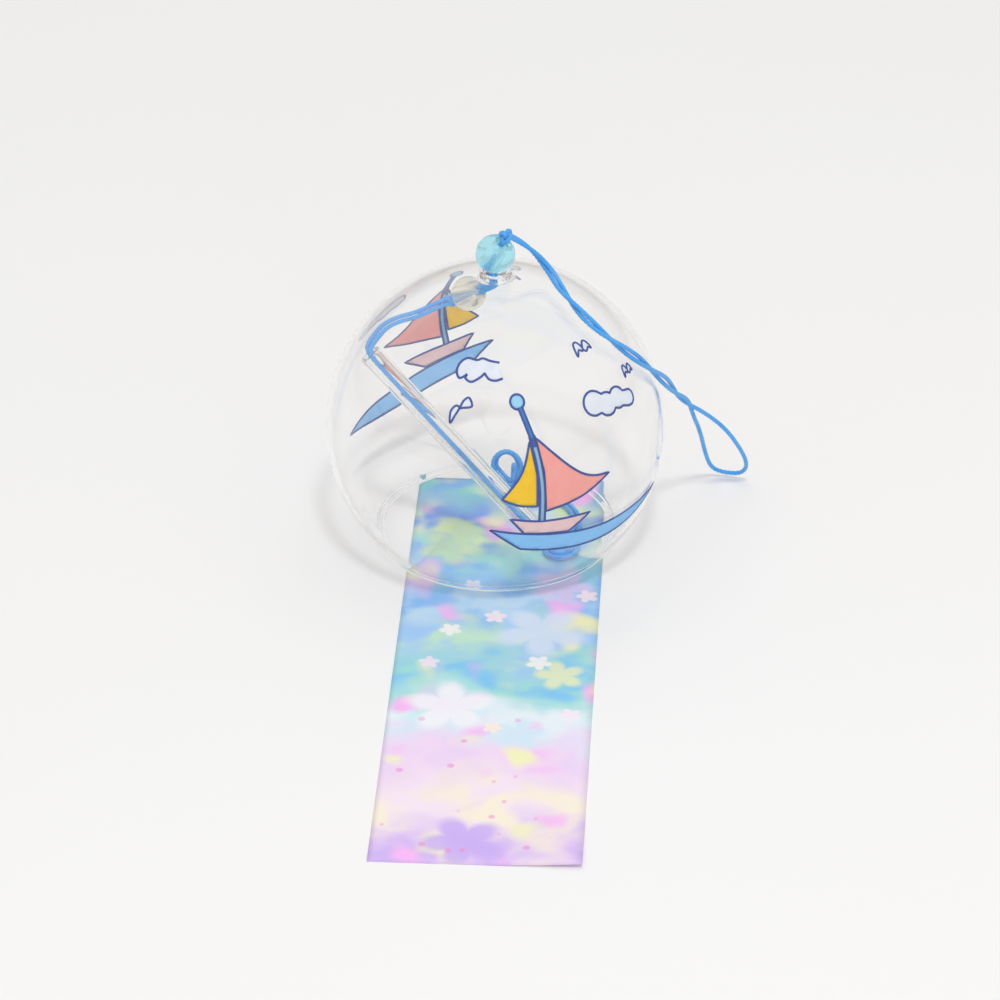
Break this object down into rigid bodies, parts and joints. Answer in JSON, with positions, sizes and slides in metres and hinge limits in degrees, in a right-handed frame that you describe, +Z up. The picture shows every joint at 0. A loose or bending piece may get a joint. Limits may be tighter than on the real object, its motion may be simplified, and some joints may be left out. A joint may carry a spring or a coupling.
{
  "type": "furin wind bell",
  "caption": "Blown-glass globe bell standing on its mouth, with a glass tube clapper on a doubled cord, two beads, a hanging loop and a printed paper strip that catches the wind.",
  "frame": {"origin": "on the table, on the globe's axis, at the underside of the paper strip that lies under the mouth", "axes": "+Z up the globe's axis, -Y towards the viewer and along the paper strip, +X to the viewer's right"},
  "size_m": [0.1015, 0.178, 0.0825],
  "materials": {
    "clear_glass": "clear blown glass, fire polished, with fine painted figures",
    "aqua_glass": "translucent aqua glass bead, glossy",
    "clear_bead": "clear glass bead, glossy",
    "blue_cord": "thin twisted blue cord with a slight sheen",
    "printed_paper": "smooth card printed with a pastel watercolour wash"
  },
  "bodies": {
    "globe": {"glass_globe": "clear_glass"},
    "hanger": {"hanging_loop": "blue_cord", "top_knot": "blue_cord", "neck_strand_left": "blue_cord", "neck_strand_right": "blue_cord"},
    "outer_bead": {"outer_bead": "aqua_glass"},
    "clapper": {"inner_strand_left": "blue_cord", "inner_strand_right": "blue_cord", "stop_knot": "blue_cord", "foot_knot": "blue_cord", "lower_strand_left": "blue_cord", "lower_strand_right": "blue_cord"},
    "stop_bead": {"stop_bead": "clear_bead"},
    "tube": {"clapper_tube": "clear_glass"},
    "strip": {"paper_strip": "printed_paper", "strip_knot": "blue_cord", "strip_tie": "blue_cord", "strip_loop_left": "blue_cord", "strip_loop_right": "blue_cord"}
  },
  "joints": [
    {"name": "hanger_swivel", "type": "hinge", "parent": "globe", "child": "hanger", "pos_m": [0, 0, 0.06922], "axis": [0, 0, 1], "continuous": true},
    {"name": "outer_bead_spin", "type": "hinge", "parent": "hanger", "child": "outer_bead", "pos_m": [0, 0, 0.07484], "axis": [0.3922, -0.285, 0.8746], "continuous": true},
    {"name": "clapper_swing", "type": "hinge", "parent": "globe", "child": "clapper", "pos_m": [0, 0, 0.06922], "axis": [0, -1, 0], "range_deg": [0, 17], "deforming": ["lower_strand_left", "lower_strand_right"]},
    {"name": "stop_bead_spin", "type": "hinge", "parent": "clapper", "child": "stop_bead", "pos_m": [-0.0063, 0.012, 0.05792], "axis": [-0.8029, 0.3512, -0.4817], "continuous": true},
    {"name": "tube_spin", "type": "hinge", "parent": "clapper", "child": "tube", "pos_m": [0.00945, -0.00703, 0.0044], "axis": [-0.6401, 0.0504, 0.7667], "continuous": true},
    {"name": "strip_swing", "type": "hinge", "parent": "globe", "child": "strip", "pos_m": [0.0041, 0.018, 0], "axis": [0, 0, 1], "range_deg": [-20, 20]}
  ]
}
